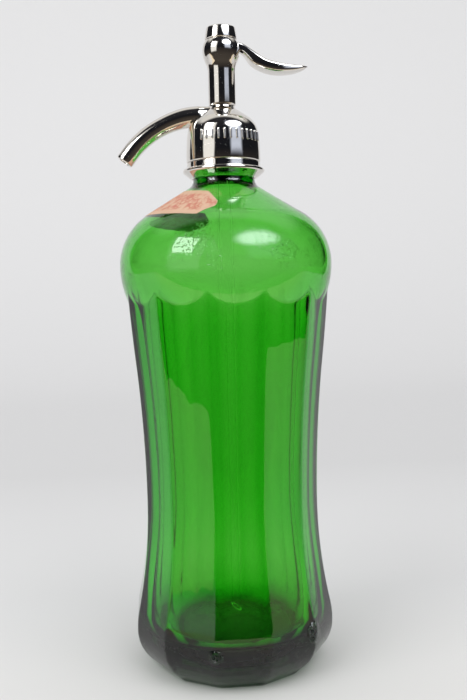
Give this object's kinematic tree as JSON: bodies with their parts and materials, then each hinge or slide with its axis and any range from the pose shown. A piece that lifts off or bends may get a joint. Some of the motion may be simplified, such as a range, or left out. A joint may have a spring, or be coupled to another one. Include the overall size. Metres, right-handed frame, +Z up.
{
  "type": "soda siphon",
  "caption": "Twelve-sided green glass soda siphon with a plated metal head, curved spout, press lever, sprung valve and glass dip tube.",
  "frame": {"origin": "centre of the base on the plane it stands on, on the bottle's axis", "axes": "+Z up along the bottle's axis, +X towards the lever, -X towards the spout, -Y towards the front panel"},
  "size_m": [0.106, 0.106, 0.319],
  "materials": {
    "green_glass": "polished",
    "clear_glass": "polished",
    "plated_metal": "polished",
    "brass": "turned",
    "steel_wire": "drawn",
    "black_rubber": "moulded",
    "cork": "plain",
    "label_paper": "printed paper"
  },
  "bodies": {
    "bottle": {"glass_bottle": "green_glass", "shoulder_label": "label_paper", "collar_half_left": "plated_metal", "collar_half_right": "plated_metal", "collar_liner": "cork", "head_casting": "plated_metal", "spout": "plated_metal", "top_cap": "plated_metal", "lever_pin": "steel_wire", "valve_seat": "brass", "neck_washer": "black_rubber", "tube_nut": "brass", "tube_grommet": "black_rubber", "dip_tube": "clear_glass", "return_spring": "steel_wire", "cap_washer": "black_rubber"},
    "lever": {"lever": "plated_metal"},
    "plunger": {"plunger_rod": "brass", "valve_nut": "brass", "valve_disc": "black_rubber", "valve_washer": "brass", "spacer_sleeve": "brass", "cup_washer": "black_rubber", "spring_washer": "brass"}
  },
  "joints": [
    {"name": "lever_press", "type": "hinge", "parent": "bottle", "child": "lever", "pos_m": [0.0042, 0, 0.308], "axis": [0, 1, 0], "range_deg": [0, 16], "stiffness_Nm_per_rad": 0.0516, "springref_deg": -41.45},
    {"name": "plunger_lift", "type": "slide", "parent": "bottle", "child": "plunger", "axis": [0, 0, 1], "range_m": [0, 0.00116], "deforming": ["return_spring"]}
  ],
  "couplings": [
    {"joint": "plunger_lift", "follows": "lever_press", "m_per_rad": 0.004147}
  ]
}
